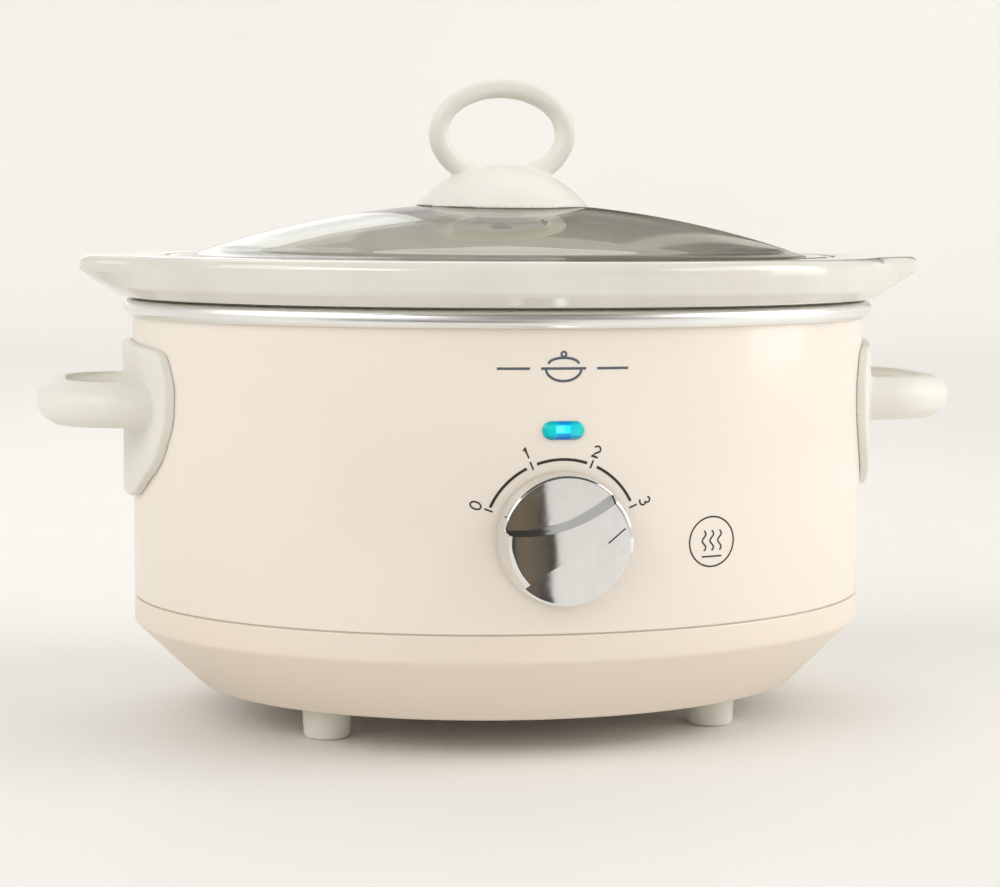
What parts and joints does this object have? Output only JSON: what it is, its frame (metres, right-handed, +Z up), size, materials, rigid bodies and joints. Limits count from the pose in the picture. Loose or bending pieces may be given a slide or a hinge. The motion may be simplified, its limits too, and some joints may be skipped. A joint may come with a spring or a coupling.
{
  "type": "slow cooker",
  "caption": "Oval countertop slow cooker: painted body on feet, loop side handles, rotary heat knob, lift-out glazed stoneware pot and domed glass lid with a ring handle.",
  "frame": {"origin": "centre of the whole part's box in plan, at the level of the surface its feet stand on", "axes": "+Z up; the control knob and lamp face -Y; +X is the user's right, along the oval's long side"},
  "size_m": [0.3756, 0.2677, 0.2599],
  "materials": {
    "cream_paint": "smooth gloss cream enamel paint on sheet steel",
    "cream_plastic": "smooth moulded plastic, matched to the body paint",
    "grey_plastic": "fine satin moulded plastic, warm off-white grey",
    "glaze": "glossy glazed stoneware, warm off-white grey",
    "clear_glass": "clear tempered glass, faint green-grey tint",
    "aluminium": "satin pressed aluminium sheet",
    "chrome": "bright chrome plating on plastic",
    "blue_lens": "clear blue plastic, lit from behind",
    "zinc_steel": "zinc plated steel",
    "stainless": "stainless steel",
    "brass": "plain brass",
    "foil_mica": "foil backed mica element band",
    "mineral_wool": "stitched mineral wool blanket",
    "dark_plastic": "dark heat-resistant moulding",
    "white_plastic": "white moulding",
    "ceramic": "unglazed white ceramic",
    "black_rubber": "black flexible bush",
    "silicone": "translucent white silicone",
    "wire_sleeve": "glass fibre sleeved wire"
  },
  "bodies": {
    "base": {"base_moulding": "cream_plastic", "body_shell": "cream_paint", "heating_well": "aluminium", "heater_band": "foil_mica", "heater_clamp": "zinc_steel", "heater_clamp_screw": "zinc_steel", "insulation_blanket": "mineral_wool", "heat_shield": "zinc_steel", "centre_stud": "zinc_steel", "centre_spacer": "zinc_steel", "stud_nuts": "zinc_steel", "centre_washer": "zinc_steel", "handle_screws": "zinc_steel", "switch_body": "dark_plastic", "switch_cover": "dark_plastic", "switch_terminals": "brass", "switch_bracket": "zinc_steel", "switch_nut": "brass", "lamp_lens": "blue_lens", "lamp_holder": "dark_plastic", "indicator_lamp": "white_plastic", "terminal_block": "ceramic", "terminal_screws": "brass", "cord_gland": "black_rubber", "thermal_cutout": "aluminium", "cutout_clip": "zinc_steel", "earth_tag": "brass", "lead_live": "wire_sleeve", "lead_neutral": "wire_sleeve", "lead_cutout": "wire_sleeve", "lead_heater": "wire_sleeve", "lead_earth": "wire_sleeve", "lead_lamp": "wire_sleeve", "foot_left_front": "grey_plastic", "foot_left_rear": "grey_plastic", "foot_right_front": "grey_plastic", "foot_right_rear": "grey_plastic", "foot_screws": "zinc_steel", "side_handle_right": "grey_plastic", "side_handle_left": "grey_plastic", "handle_backing_right": "zinc_steel", "handle_backing_left": "zinc_steel"},
    "crock": {"crock": "glaze"},
    "lid": {"lid_glass": "clear_glass", "lid_handle": "grey_plastic", "lid_screw": "stainless", "lid_washer": "stainless", "lid_seal": "silicone"},
    "knob": {"control_knob": "chrome", "knob_pointer": "dark_plastic", "switch_spindle": "brass", "knob_spring_clip": "zinc_steel", "switch_cam": "white_plastic"}
  },
  "joints": [
    {"name": "crock_lift", "type": "slide", "parent": "base", "child": "crock", "axis": [0, 0, 1], "range_m": [0, 0.13]},
    {"name": "lid_lift", "type": "slide", "parent": "crock", "child": "lid", "axis": [0, 0, 1], "range_m": [0, 0.09]},
    {"name": "knob_turn", "type": "hinge", "parent": "base", "child": "knob", "pos_m": [0, -0.11545, 0.0867], "axis": [0, -1, 0], "range_deg": [0, 138]}
  ]
}
